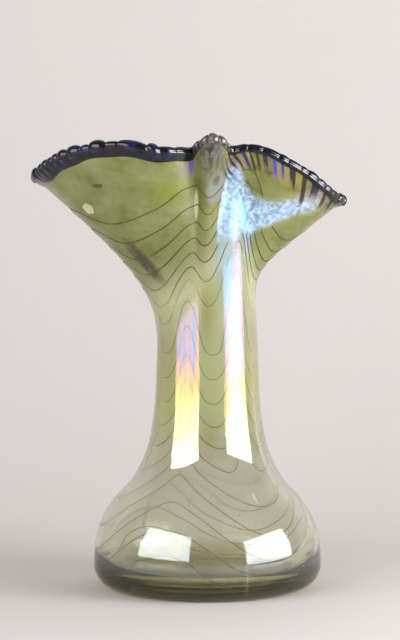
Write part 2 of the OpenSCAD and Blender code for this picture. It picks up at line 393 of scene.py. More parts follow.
def lustred_glass(colours):
    """Soda glass, free blown, with a metal salt lustre fumed on while it was hot.

    The bulb is clear and grey-green. Up the neck the glass turns olive, and in the mouth it is
    filled with fine silver and lets little through. The lustre is a film a few tens of
    nanometres thick on the bulb and thicker towards the mouth, so its sheen runs from white by
    way of yellow and pink to blue.
    """
    material, tree, shader = new_material("free_blown_soda_glass_fumed")
    where = node(tree, "ShaderNodeTexCoord").outputs["Object"]
    lie = node(tree, "ShaderNodeAttribute", attribute_name="unrolled").outputs["Vector"]
    rise, inside, painted_sheen_mask, fold, drawn, leant, lustre = (
        node(tree, "ShaderNodeAttribute", attribute_name=label).outputs["Fac"]
        for label in ("rise", "inside", "painted_sheen_mask", "fold", "drawn", "leant", "lustre")
    )
    outside = node(tree, "ShaderNodeMath", (1.0, inside), operation="SUBTRACT")
    clear, olive, silvered = map(opaque, (colours.bulb, colours.neck, colours.mouth))
    cloud = speckle(tree, where, 14, 3)
    foot = linear("#d6d3a0")
    # clear glass to a third of the way up, olive on the neck and silvered in the mouth
    tint = node(tree, "ShaderNodeValToRGB", (rise,), [
        (0.0, foot), (0.03, foot), (0.09, clear), (0.3, clear), (0.46, olive), (0.7, olive),
        (0.86, silvered),
    ])
    amber = node(tree, "ShaderNodeMix", {
        0: node(tree, "ShaderNodeMath", (cloud, 0.3), operation="MULTIPLY"),
        6: tint,
        7: linear("#a8984a"),
    }, data_type="RGBA", blend_type="MULTIPLY")
    tint = node(tree, "ShaderNodeMix", {
        0: node(tree, "ShaderNodeValToRGB", (rise,), [(0.4, 0.0), (0.6, 1.0)]), 6: tint, 7: amber
    }, data_type="RGBA")
    mouth = node(tree, "ShaderNodeValToRGB", (rise,), [(0.7, 0.0), (0.86, 0.8)])
    mottle = speckle(tree, where, 9, 5, (1, 1, 1), 0.62)
    mottled = node(tree, "ShaderNodeValToRGB", (mottle,), [
        (0.36, linear("#7d8546")), (0.5, silvered), (0.66, linear("#a6aa76"))
    ])
    tint = node(tree, "ShaderNodeMix", {0: mouth, 6: tint, 7: mottled}, data_type="RGBA")
    for _, middle, half, lean, shade, edge in GATHERS:
        at = node(tree, "ShaderNodeMath", (
            patch(tree, where, middle, half, (0, lean, 0)), edge
        ), operation="MULTIPLY")
        at = node(tree, "ShaderNodeMath", (
            node(tree, "ShaderNodeMath", (at, outside), operation="MULTIPLY"), 0.85
        ), operation="MINIMUM")
        tint = node(tree, "ShaderNodeMix", {0: at, 6: tint, 7: linear(shade)}, data_type="RGBA")
    # grey streaks drawn over the fold, and dark ones from the wrap down the right lobe
    fine = speckle(tree, where, 1.3, 2, (1, 1, 12))
    grey = node(tree, "ShaderNodeValToRGB", (fine,), [
        (0.35, linear("#24231f")), (0.65, linear("#6f6c64"))
    ])
    tint = node(tree, "ShaderNodeMix", {0: fold, 6: tint, 7: grey}, data_type="RGBA")
    sway = node(tree, "ShaderNodeMath", (
        speckle(tree, lie, 8, 2, (1, 1, 6)), 15.0, -7.5
    ), operation="MULTIPLY_ADD")
    phase = node(tree, "ShaderNodeMath", (leant, 1.15, sway), operation="MULTIPLY_ADD")
    column = node(tree, "ShaderNodeMath", (
        node(tree, "ShaderNodeMath", (phase,), operation="SINE"), 0.5, 0.5
    ), operation="MULTIPLY_ADD")
    column = node(tree, "ShaderNodeValToRGB", (column,), [(0.3, 0.0), (0.75, 1.0)])
    shortfall = node(tree, "ShaderNodeMath", (
        speckle(tree, lie, 3.5, 1, (1, 1, 30)), -1.3
    ), operation="MULTIPLY")
    reach = node(tree, "ShaderNodeValToRGB", (
        node(tree, "ShaderNodeMath", (
            node(tree, "ShaderNodeMath", (drawn, shortfall), operation="ADD"), 0.55
        ), operation="ADD"),
    ), [(0.1, 0.0), (0.5, 1.0)])
    close = node(tree, "ShaderNodeValToRGB", (drawn,), [(0.84, 0.0), (1.0, 1.0)])
    dark = node(tree, "ShaderNodeMath", (
        node(tree, "ShaderNodeMath", (column, reach), operation="MULTIPLY"), close
    ), operation="MAXIMUM")
    hue = speckle(tree, lie, 6, 1, (1, 1, 5))
    # the tongues' own dark glass, with blue and violet in it as painted sheen of the lustre
    ink = node(tree, "ShaderNodeValToRGB", (hue,), [
        (0.3, linear("#332a18")),
        (0.5, linear("#201d20")),
        (0.6, linear("#2a2540")),
        (0.68, linear("#4c3f9c")),
    ])
    warm = node(tree, "ShaderNodeMath", (
        node(tree, "ShaderNodeValToRGB", (drawn,), [(0.05, 0.0), (0.5, 1.0)]), 0.7
    ), operation="MULTIPLY")
    honey = node(tree, "ShaderNodeMix", {
        0: node(tree, "ShaderNodeValToRGB", (mottle,), [(0.4, 0.0), (0.6, 1.0)]),
        6: linear("#5f5a26"),
        7: linear("#a8963f"),
    }, data_type="RGBA")
    tint = node(tree, "ShaderNodeMix", {0: warm, 6: tint, 7: honey}, data_type="RGBA")
    # a painted sheen on the front right: the blue-white reflection of the right softbox, painted into the
    # colour and broken up by the crinkle where the skin shrank as it cooled, which is also a real bump
    crinkle = speckle(tree, where, 1.3, 3, (1, 1, 1), 0.7)
    painted_sheen = node(tree, "ShaderNodeValToRGB", (crinkle,), [
        (0.36, linear("#8fa8dc")), (0.5, linear("#aac2e2")), (0.64, linear("#d0dcee"))
    ])
    broken = node(tree, "ShaderNodeValToRGB", (crinkle,), [(0.32, 0.35), (0.55, 1.0)])
    painted_sheen_amount = node(tree, "ShaderNodeMath", (painted_sheen_mask, broken), operation="MULTIPLY")
    tint = node(tree, "ShaderNodeMix", {
        0: node(tree, "ShaderNodeMath", (painted_sheen_amount, 0.9), operation="MULTIPLY"), 6: tint, 7: painted_sheen
    }, data_type="RGBA")
    tint = node(tree, "ShaderNodeMix", {0: dark, 6: tint, 7: ink}, data_type="RGBA")
    through = node(tree, "ShaderNodeValToRGB", (rise,), [
        (0.0, 0.98), (0.36, 0.96), (0.5, 0.86), (0.62, 0.8), (0.74, 0.64), (0.86, 0.5)
    ], easing="LINEAR")
    # the painted sheen, the dark glass and the fold each let less light through
    for mask, loss in ((painted_sheen_amount, -0.7), (dark, -0.9), (fold, -0.2)):
        left = node(tree, "ShaderNodeMath", (mask, loss, 1.0), operation="MULTIPLY_ADD")
        through = node(tree, "ShaderNodeMath", (through, left), operation="MULTIPLY")
    # the film in nanometres: thicker up the vase, in clouds, and drawn out along the pull
    film = node(tree, "ShaderNodeValToRGB", (rise,), [
        (0.06, 56 / THICKEST_FILM),
        (0.17, 60 / THICKEST_FILM),
        (0.34, 82 / THICKEST_FILM),
        (0.42, 92 / THICKEST_FILM),
        (0.48, 106 / THICKEST_FILM),
        (0.56, 133 / THICKEST_FILM),
        (0.66, 146 / THICKEST_FILM),
        (0.8, 160 / THICKEST_FILM),
    ], easing="LINEAR")
    drawn_out = node(tree, "ShaderNodeMath", (
        speckle(tree, lie, 1.8, 3, (1, 1, 16), 0.6), 70.0, -35.0
    ), operation="MULTIPLY_ADD")
    drift = node(tree, "ShaderNodeMath", (
        speckle(tree, where, 7, 4), 90.0, -45.0
    ), operation="MULTIPLY_ADD")
    drift = node(tree, "ShaderNodeMath", (
        drift, node(tree, "ShaderNodeValToRGB", (rise,), [(0.2, 1.0), (0.4, 0.4)])
    ), operation="MULTIPLY")
    drawn_out = node(tree, "ShaderNodeMath", (
        drawn_out, node(tree, "ShaderNodeValToRGB", (rise,), [(0.3, 0.25), (0.4, 1.0)])
    ), operation="MULTIPLY")
    film_nm = node(tree, "ShaderNodeMath", (
        film, THICKEST_FILM, node(tree, "ShaderNodeMath", (drift, drawn_out), operation="ADD")
    ), operation="MULTIPLY_ADD")
    # where the film runs out, its index comes down to that of the glass
    film_nm = node(tree, "ShaderNodeMath", (
        film_nm, node(tree, "ShaderNodeMath", (lustre, 0.01), operation="GREATER_THAN")
    ), operation="MULTIPLY")
    denser = node(tree, "ShaderNodeMath", (
        node(tree, "ShaderNodeValToRGB", (rise,), [(0.2, 0.0), (0.36, 1.0)]), 0.27, 0.23
    ), operation="MULTIPLY_ADD")
    film_ior = node(tree, "ShaderNodeMath", (denser, lustre, 1.5), operation="MULTIPLY_ADD")
    pull = speckle(tree, lie, 2.4, 3, (1, 1, 16))
    relief = node(tree, "ShaderNodeBump", {
        "Height": node(tree, "ShaderNodeMath", (
            pull, node(tree, "ShaderNodeValToRGB", (rise,), [(0.3, 0.2), (0.4, 1.0)])
        ), operation="MULTIPLY"),
        "Distance": 0.09 * MM,
    })
    relief = node(tree, "ShaderNodeBump", {
        "Height": node(tree, "ShaderNodeMath", (crinkle, painted_sheen_mask), operation="MULTIPLY"),
        "Distance": 0.1 * MM,
        "Normal": relief,
    })
    outer_rough = node(tree, "ShaderNodeValToRGB", (rise,), [
        (0.0, 0.015), (0.34, 0.03), (0.5, 0.07), (0.7, 0.12), (0.9, 0.26)
    ], easing="LINEAR")
    inner_rough = node(tree, "ShaderNodeValToRGB", (rise,), [
        (0.18, 0.03), (0.36, 0.25), (0.6, 0.45)
    ], easing="LINEAR")
    rough = node(tree, "ShaderNodeMix", {0: inside, 6: outer_rough, 7: inner_rough}, data_type="RGBA")
    plug(tree, shader, {
        "Base Color": tint,
        "Roughness": node(tree, "ShaderNodeMath", (painted_sheen_mask, 0.14, rough), operation="MULTIPLY_ADD"),
        "IOR": 1.5,
        "Transmission Weight": through,
        "Thin Film Thickness": film_nm,
        "Thin Film IOR": film_ior,
        "Normal": relief,
    })
    # where the glass is thick, it is greener
    links = {"Color": linear("#cbcd9e"), "Density": 46.0}
    volume = node(tree, "ShaderNodeVolumeAbsorption", links)
    output = next(n for n in tree.nodes if n.type == "OUTPUT_MATERIAL")
    tree.links.new(volume.outputs["Volume"], output.inputs["Volume"])
    return material


def thread_glass(colours):
    """Dark olive glass, drawn out to a thread, laid on the bubble and marvered in flush."""
    material, tree, shader = new_material("trailed_olive_glass")
    where = node(tree, "ShaderNodeTexCoord").outputs["Object"]
    dark = opaque(colours.trail)
    streak = node(tree, "ShaderNodeValToRGB", (speckle(tree, where, 6, 2),), [
        (0.35, dark), (0.7, linear("#85794a"))
    ])
    height = node(tree, "ShaderNodeSeparateXYZ", {"Vector": where}).outputs["Z"]
    scaled = node(tree, "ShaderNodeMath", (height, 4.0), operation="MULTIPLY")
    warmer = node(tree, "ShaderNodeValToRGB", (scaled,), [(0.5, 0.0), (0.64, 0.55), (0.76, 0.0)])
    streak = node(tree, "ShaderNodeMix", {0: warmer, 6: streak, 7: linear("#86602c")}, data_type="RGBA")
    streak = node(tree, "ShaderNodeMix", {
        0: node(tree, "ShaderNodeValToRGB", (scaled,), [(0.7, 0.0), (0.84, 0.9)]),
        6: streak,
        7: linear("#4c4a22"),
    }, data_type="RGBA")
    paler = node(tree, "ShaderNodeValToRGB", (scaled,), [
        (0.26, 0.75), (0.4, 0.45), (0.6, 0.2), (0.7, 0.0)
    ])
    streak = node(tree, "ShaderNodeMix", {0: paler, 6: streak, 7: linear("#cbc9aa")}, data_type="RGBA")
    # an index near 1 lets the clear part of a thread tint what is seen through it, no more: it
    # lies within the wall, whose own surface bends the light
    plug(tree, shader, {
        "Base Color": streak,
        "Roughness": 0.3,
        "IOR": 1.03,
        "Transmission Weight": node(tree, "ShaderNodeValToRGB", (scaled,), [
            (0.2, 1.0), (0.42, 0.85), (0.62, 0.6), (0.78, 0.1)
        ]),
    })
    return material


def rim_glass(colours):
    """Near black glass coiled on the lip and crimped with pincers: fire polished, with the blue and violet
    sheen of a lustre in places, painted into its colour as a painted sheen."""
    material, tree, shader = new_material("crimped_black_glass_fumed")
    where = node(tree, "ShaderNodeTexCoord").outputs["Object"]
    dark = opaque(colours.rim)
    cloud = speckle(tree, where, 6, 2, (1, 1, 2))
    # near black glass; its blue and violet patches are painted sheen, the colour that the lustre reflects
    tone = node(tree, "ShaderNodeValToRGB", (cloud,), [
        (0.3, linear("#24221c")), (0.42, dark), (0.6, dark), (0.7, linear("#18183a")),
        (0.8, linear("#342d8c")),
    ])
    fine = speckle(tree, where, 0.9, 1, (1, 1, 12))
    grey = node(tree, "ShaderNodeValToRGB", (fine,), [
        (0.35, linear("#201f1d")), (0.65, linear("#65625b"))
    ])
    fold = node(tree, "ShaderNodeMath", (
        node(tree, "ShaderNodeMath", (
            patch(tree, where, (3, -55, 276), (13, 22, 15)), 3.0
        ), operation="MULTIPLY"),
        1.0,
    ), operation="MINIMUM")
    plug(tree, shader, {
        "Base Color": node(tree, "ShaderNodeMix", {0: fold, 6: tone, 7: grey}, data_type="RGBA"),
        "Roughness": 0.12,
        "IOR": 1.52,
        "Normal": node(tree, "ShaderNodeBump", {
            "Height": speckle(tree, where, 2.2, 2), "Distance": 0.1 * MM
        }),
    })
    return material


def chip_glass(name, shade, lighter):
    """A shard of coloured glass, picked up while the bubble was hot and melted in."""
    material, tree, shader = new_material(name)
    where = node(tree, "ShaderNodeTexCoord").outputs["Object"]
    cloud = speckle(tree, where, 2, 3)
    plug(tree, shader, {
        "Base Color": node(tree, "ShaderNodeValToRGB", (cloud,), [
            (0.35, linear(shade)), (0.7, linear(lighter))
        ]),
        "Roughness": 0.3,
        "Normal": node(tree, "ShaderNodeBump", {"Height": cloud, "Distance": 0.05 * MM}),
    })
    return material


def trapped_air():
    """Seeds: small bubbles of air left in the glass, which show as bright specks; the glint of these specks
    is painted in as a pale colour.
    """
    material, tree, shader = new_material("trapped_air_seed")
    cloud = speckle(tree, node(tree, "ShaderNodeTexCoord").outputs["Object"], 1, 1)
    # painted glint: a pale colour for the light that the bubbles reflect
    tone = node(tree, "ShaderNodeValToRGB", (cloud,), [
        (0.3, linear("#d8d6c4")), (0.7, linear("#f4f2e6"))
    ])
    plug(tree, shader, {"Base Color": tone, "Roughness": 0.2, "Transmission Weight": 0.4})
    return material


def sweep_paper(colours):
    """Matt background paper. It is clear from behind, so that it never hides the vase."""
    material, tree, shader = new_material("matt_background_paper")
    tone = opaque(colours.paper)
    grain = speckle(tree, node(tree, "ShaderNodeTexCoord").outputs["Object"], 1.5, 2)
    plug(tree, shader, {
        "Base Color": node(tree, "ShaderNodeMix", {
            0: node(tree, "ShaderNodeMath", (grain, 0.04), operation="MULTIPLY"),
            6: tone,
            7: linear("#ffffff"),
        }, data_type="RGBA"),
        "Roughness": 0.9,
        "Specular IOR Level": 0.1,
    })
    clear = node(tree, "ShaderNodeBsdfTransparent").outputs["BSDF"]
    behind = node(tree, "ShaderNodeNewGeometry").outputs["Backfacing"]
    links = {0: behind, 1: shader.outputs["BSDF"], 2: clear}
    shown = node(tree, "ShaderNodeMixShader", links).outputs["Shader"]
    output = next(n for n in tree.nodes if n.type == "OUTPUT_MATERIAL")
    tree.links.new(shown, output.inputs["Surface"])
    return material


# ---------------------------------------------------------------- geometry node trees


def new_geometry_tree(name, inputs):
    """An empty geometry tree with named inputs {name: (socket type, default)}."""
    tree = bpy.data.node_groups.new(name, "GeometryNodeTree")
    tree.interface.new_socket(name="Geometry", in_out="INPUT", socket_type="NodeSocketGeometry")
    for label, (kind, default) in inputs.items():
        socket = tree.interface.new_socket(name=label, in_out="INPUT", socket_type=kind)
        if default is not None:
            socket.default_value = default
    tree.interface.new_socket(name="Geometry", in_out="OUTPUT", socket_type="NodeSocketGeometry")
    return tree, node(tree, "NodeGroupInput").outputs


def close_geometry_tree(tree, geometry, material):
    """Ends a tree with real geometry that carries its material."""
    real = node(tree, "GeometryNodeRealizeInstances", {"Geometry": geometry}).outputs["Geometry"]
    smooth = node(tree, "GeometryNodeSetShadeSmooth", {"Geometry": real}).outputs["Geometry"]
    links = {"Geometry": smooth, "Material": material}
    painted = node(tree, "GeometryNodeSetMaterial", links).outputs["Geometry"]
    node(tree, "NodeGroupOutput", {"Geometry": painted})


def grown(name, mesh, tree, values):
    """The plain piece that a geometry tree makes of a mesh, with its named inputs set."""
    seed = new_object(name + "_start", mesh)
    modifier = seed.modifiers.new("grow", "NODES")
    modifier.node_group = tree
    sockets = {s.name: s.identifier for s in tree.interface.items_tree if s.in_out == "INPUT"}
    for label, value in values.items():
        modifier[sockets[label]] = value
    evaluated = seed.evaluated_get(bpy.context.evaluated_depsgraph_get())
    result = bpy.data.meshes.new_from_object(evaluated)
    result.name = name
    seed.modifiers.remove(modifier)
    bpy.data.objects.remove(seed)
    return new_object(name, result)


def thread_tree():
    """Draws a thread of glass along a closed line; its width wanders as a hand-laid one does."""
    tree, given = new_geometry_tree("laid_thread", {
        "Radius": ("NodeSocketFloat", 0.0004),
        "Wander": ("NodeSocketFloat", 0.3),
        "Lump Size": ("NodeSocketFloat", 0.012),
        "Seed": ("NodeSocketFloat", 1.0),
        "Sides": ("NodeSocketInt", 6),
        "Material": ("NodeSocketMaterial", None),
    })
    line = node(tree, "GeometryNodeMeshToCurve", {"Mesh": given["Geometry"]}).outputs["Curve"]
    scale = node(tree, "ShaderNodeMath", (1.0, given["Lump Size"]), operation="DIVIDE")
    links = {"W": given["Seed"], "Scale": scale, "Detail": 1.0}
    noise = node(tree, "ShaderNodeTexNoise", links, noise_dimensions="4D").outputs["Fac"]
    swing = node(tree, "ShaderNodeMath", (
        node(tree, "ShaderNodeMath", (noise, 2.0, -1.0), operation="MULTIPLY_ADD"), given["Wander"]
    ), operation="MULTIPLY")
    width = node(tree, "ShaderNodeMath", (
        swing, given["Radius"], given["Radius"]
    ), operation="MULTIPLY_ADD")
    links = {"Resolution": given["Sides"], "Radius": 1.0}
    circle = node(tree, "GeometryNodeCurvePrimitiveCircle", links)
    links = {"Curve": line, "Profile Curve": circle, "Scale": width}
    tube = node(tree, "GeometryNodeCurveToMesh", links).outputs["Mesh"]
    close_geometry_tree(tree, tube, given["Material"])
    return tree


def crimp_tree():
    """Pinches a coil of glass into crimps. A point of the coil knows how many crimps it is round
    the lip (crimps), how much they move it (share), which way (push) and their height (height)."""
    tree, given = new_geometry_tree("pinched_crimps", {
        "Crimp Height": ("NodeSocketFloat", 0.002),
        "Roundness": ("NodeSocketFloat", 0.55),
        "Material": ("NodeSocketMaterial", None),
    })
    named = {}
    kinds = {"crimps": "FLOAT", "share": "FLOAT", "height": "FLOAT", "push": "FLOAT_VECTOR"}
    for label, kind in kinds.items():
        reader = node(tree, "GeometryNodeInputNamedAttribute", {"Name": label}, data_type=kind)
        named[label] = reader.outputs["Attribute"]
    wave = node(tree, "ShaderNodeMath", (
        node(tree, "ShaderNodeMath", (
            node(tree, "ShaderNodeMath", (named["crimps"], math.pi), operation="MULTIPLY"),
        ), operation="SINE"),
    ), operation="ABSOLUTE")
    bead = node(tree, "ShaderNodeMath", (wave, given["Roundness"]), operation="POWER")
    lift = node(tree, "ShaderNodeMath", (
        node(tree, "ShaderNodeMath", (bead, named["share"]), operation="MULTIPLY"), named["height"]
    ), operation="MULTIPLY")
    lift = node(tree, "ShaderNodeMath", (lift, given["Crimp Height"]), operation="MULTIPLY")
    links = {0: named["push"], "Scale": lift}
    offset = node(tree, "ShaderNodeVectorMath", links, operation="SCALE").outputs["Vector"]
    moved = node(tree, "GeometryNodeSetPosition", {"Geometry": given["Geometry"], "Offset": offset})
    close_geometry_tree(tree, moved.outputs["Geometry"], given["Material"])
    return tree


def seed_tree():
    """Scatters small bubbles over a sheet that lies within the wall."""
    tree, given = new_geometry_tree("trapped_seeds", {
        "Density": ("NodeSocketFloat", 600.0),
        "Smallest": ("NodeSocketFloat", 0.00015),
        "Largest": ("NodeSocketFloat", 0.0005),
        "Seed": ("NodeSocketInt", 4),
        "Material": ("NodeSocketMaterial", None),
    })
    links = {"Mesh": given["Geometry"], "Density": given["Density"], "Seed": given["Seed"]}
    points = node(tree, "GeometryNodeDistributePointsOnFaces", links).outputs["Points"]
    links = {2: given["Smallest"], 3: given["Largest"], "Seed": given["Seed"]}
    size = node(tree, "FunctionNodeRandomValue", links, data_type="FLOAT").outputs[1]
    ball = node(tree, "GeometryNodeMeshIcoSphere", {"Radius": 1.0, "Subdivisions": 2}).outputs["Mesh"]
    links = {"Points": points, "Instance": ball, "Scale": size}
    balls = node(tree, "GeometryNodeInstanceOnPoints", links).outputs["Instances"]
    close_geometry_tree(tree, balls, given["Material"])
    return tree


# ---------------------------------------------------------------- properties


def length(name, description, millimetres):
    """A length, shown to a tenth of a millimetre."""
    return FloatProperty(
        name=name, description=description, default=millimetres * MM, unit="LENGTH", precision=4
    )


def share(name, description, default):
    """A plain factor."""
    return FloatProperty(name=name, description=description, default=default, subtype="FACTOR")


def power(name, description, watts):
    """The power of a lamp."""
    return FloatProperty(name=name, description=description, default=watts, unit="POWER")


def colour(name, description, shade):
    """A colour whose default is an sRGB hex value."""
    return FloatVectorProperty(
        name=name, description=description, default=linear(shade)[:3], subtype="COLOR", size=3,
        min=0, max=1
    )


class VASE_PG_glass(bpy.types.PropertyGroup):
    """Sizes of the blown vessel"""

    foot_radius: length("Foot radius", "Outer radius of the ring that the vase rests on", 56)
    bulb_radius: length("Bulb radius", "Greatest radius of the bulb", 70.6)
    bulb_height: length("Bulb height", "Height at which the bulb is widest", 18)
    waist_radius: length("Waist radius", "Radius of the neck at its waist", 31.2)
    waist_height: length("Waist height", "Height where the neck starts to open into the mouth", 150)
    wall: length("Wall", "Thickness of the glass in the bulb and neck", 3.4)
    lip_wall: length("Wall at the lip", "Thickness of the glass at the lip", 2.4)
    floor_thickness: length("Floor", "Thickness of the floor of the bulb", 9)
    kick_up: length("Kick up", "Height of the hollow under the base", 2.6)
    pontil_radius: length("Pontil mark", "Radius of the ground pontil mark", 14)
    mouth_spread: share("Mouth spread", "Scale of the spread of the lip about the neck", 1.0)
    crease_scale: share("Creases", "Scale of the depth of the creases", 1.0)
    columns: IntProperty(name="Columns", description="Points round the glass", default=320, min=48)
    flare_rows: IntProperty(name="Flare rows", description="Rows of points up the flare", default=56, min=8)


class VASE_PG_trim(bpy.types.PropertyGroup):
    """Sizes of the wrap on the lip, the trail and what is melted in"""

    wrap_width: length("Wrap width", "Width of the wrap down the outside of the left lobe", 8.0)
    wrap_thickness: length("Wrap thickness", "Thickness of the wrap on the outside of the glass", 1.0)
    crimp_height: length("Crimp height", "How far the crimps rise above the lip", 2.3)
    crimp_pitch: length("Crimp pitch", "Length of lip that one crimp takes", 7.6)
    turn_pitch: length("Turn pitch", "Height from turn to turn on the bulb and neck", 15)
    flare_pitch: length("Turn pitch in the mouth", "Height from turn to turn on the flare", 9)
    thread_radius: length("Thread radius", "Radius of the trailed thread", 0.34)
    thread_depth: length("Thread depth", "How deep its middle lies under the skin", 0.5)
    seed_density: FloatProperty(name="Seeds", description="Trapped bubbles in a square metre", default=900)


class VASE_PG_colours(bpy.types.PropertyGroup):
    """Colours of the glass and of the stage"""

    bulb: colour("Bulb", "Tint of the clear glass of the bulb", "#f7f7ec")
    neck: colour("Neck", "Tint of the neck", "#eff4cc")
    mouth: colour("Mouth", "Colour of the silver-filled glass of the mouth", "#949c5c")
    trail: colour("Trail", "Colour of the trail", "#6b663c")
    rim: colour("Rim", "Colour of the wrap", "#0c0c16")
    paper: colour("Paper", "Colour of the background paper", "#cfcbc9")


class VASE_PG_studio(bpy.types.PropertyGroup):
    """The stage and its lights"""

    softbox_distance: length("Softbox distance", "Distance of both softboxes from the vase", 800)
    left_power: power("Left power", "Power of the left softbox", 7.2)
    right_power: power("Right power", "Power of the right softbox", 6.4)
    core_power: power("Core power", "Power of the lamp in the right softbox", 5.2)
    wall_power: power("Wall power", "Power of the light on the wall", 2.15)
    room_light: share("Room light", "Strength of the light all round", 0.27)
    camera_distance: length("Camera distance", "Distance of the camera from the axis", 1750)
    camera_height: length("Camera height", "Height of the camera", 305)
    lens: FloatProperty(name="Lens", description="Focal length in mm on a 36 mm frame", default=159.6)


# ---------------------------------------------------------------- operators


def lustre_map(angle, rise, inside):
    """Where the lustre lies and how the skin was drawn, for points of the body.

    unrolled is the skin laid out on an even cylinder, so that a pattern runs with the glass. It
    leans in the mouth, as the tongues from the wrap do; leant is the angle of that layout.
    """
    outside = 1 - inside
    leant = angle + 0.8 * (np.maximum(rise, 205) - FULL_RISE)
    # where the reflection of the right softbox is painted into the colour, as a painted sheen
    low = from_table(PAINTED_SHEEN_FOOT, angle)
    high = from_table(PAINTED_SHEEN_TOP, angle)
    under_top = 1 - step_up(high - 4, high + 4, rise)
    painted_sheen = step_up(low - 4, low + 4, rise) * under_top
    painted_sheen = painted_sheen * step_up(7, 12, angle) * (1 - step_up(74, 82, angle))
    below = step_up(-2, 8, angle) * (1 - step_up(50, 60, angle)) * under_top
    below = np.maximum(below * step_up(150, 160, rise), painted_sheen)
    foot = from_table(TONGUE_FOOT, angle)
    tongues = np.clip((rise - foot) / (FULL_RISE - foot), 0, 1)
    tongues = tongues * step_up(9, 18, angle) * (1 - step_up(100, 116, angle))
    fold = np.exp(-(((angle - 3) / 8.5) ** 4)) * step_up(228, 245, rise)
    return {
        "unrolled": place(leant, 60, rise) * MM,
        "leant": leant,
        "painted_sheen_mask": painted_sheen * outside,
        "drawn": tongues * outside,
        "fold": fold * outside,
        "lustre": np.maximum(step_up(11, 20, rise) * (1 - step_up(150, 200, rise)), below) * outside,
    }


class VASE_OT_blow_body(bpy.types.Operator):
    """Blow the vessel: one closed wall, down the outside, over the lip and up the inside"""

    bl_idname = "vase.blow_body"
    bl_label = "Blow the Body"

    def execute(self, context):
        size = context.scene.vase_glass
        skin = Skin(size)
        n = size.columns
        angles = all_round(n)
        ring_in = skin.foot_r - 8  # inner edge of the ring that the vase rests on
        hollow = skin.kick_up
        underside = [
            [0, hollow + 0.8], [skin.pontil_r - 0.6, hollow + 0.4], [skin.pontil_r, hollow],
            [ring_in - 16, hollow * 0.75], [ring_in - 4, 0.6], [ring_in, 0],
        ]
        rows, rises, inner = [], [], []

        def add(points, rise, is_inside):
            rows.append(points)
            rises.append(rise)
            inner.append(is_inside)

        for r, z in outline(underside, 5)[1:]:
            add(place(angles, r, z), 0, 0)
        for r, z in skin.shoulder:
            add(place(angles, r, z), z, 0)
        steps = size.flare_rows
        for rise in np.linspace(skin.waist_z, FULL_RISE, steps + 1)[1:]:
            add(skin.point(angles, rise), rise, 0)
        edge = skin.point(angles, FULL_RISE)
        out = skin.normal(angles, FULL_RISE)
        upward = unit(edge - skin.point(angles, FULL_RISE - 1))
        half = skin.lip_wall / 2
        for turn in np.radians([36, 72, 108, 144]):
            inwards = half * (1 - math.cos(turn)) * out
            add(edge - inwards + half * math.sin(turn) * upward, FULL_RISE, 0)
        for rise in np.linspace(FULL_RISE, skin.waist_z, steps + 1)[:-1]:
            add(skin.off(angles, rise, -skin.glass_at(rise) * np.ones(n)), rise, 1)
        for r, z in skin.inside[:0:-1]:
            add(place(angles, r, z), z, 1)
        points = np.concatenate(rows)
        faces = ring_faces(len(rows), n) + cap_faces(len(rows), n)
        poles = [[0, 0, hollow + 0.8], [0, 0, skin.inside[0][1]]]
        height = np.append(np.repeat(rises, n), [0, 0])
        within = np.append(np.repeat(inner, n), [0, 1])
        angle = np.append(np.tile(angles, len(rows)), [0, 0])
        values = {"rise": height / FULL_RISE, "inside": within, **lustre_map(angle, height, within)}
        mesh = smooth_mesh("body_glass", np.vstack([points, poles]), faces, values)
        mesh.materials.append(lustred_glass(context.scene.vase_colours))
        finish_piece(new_object("body_glass", mesh), ["body"])
        return {"FINISHED"}


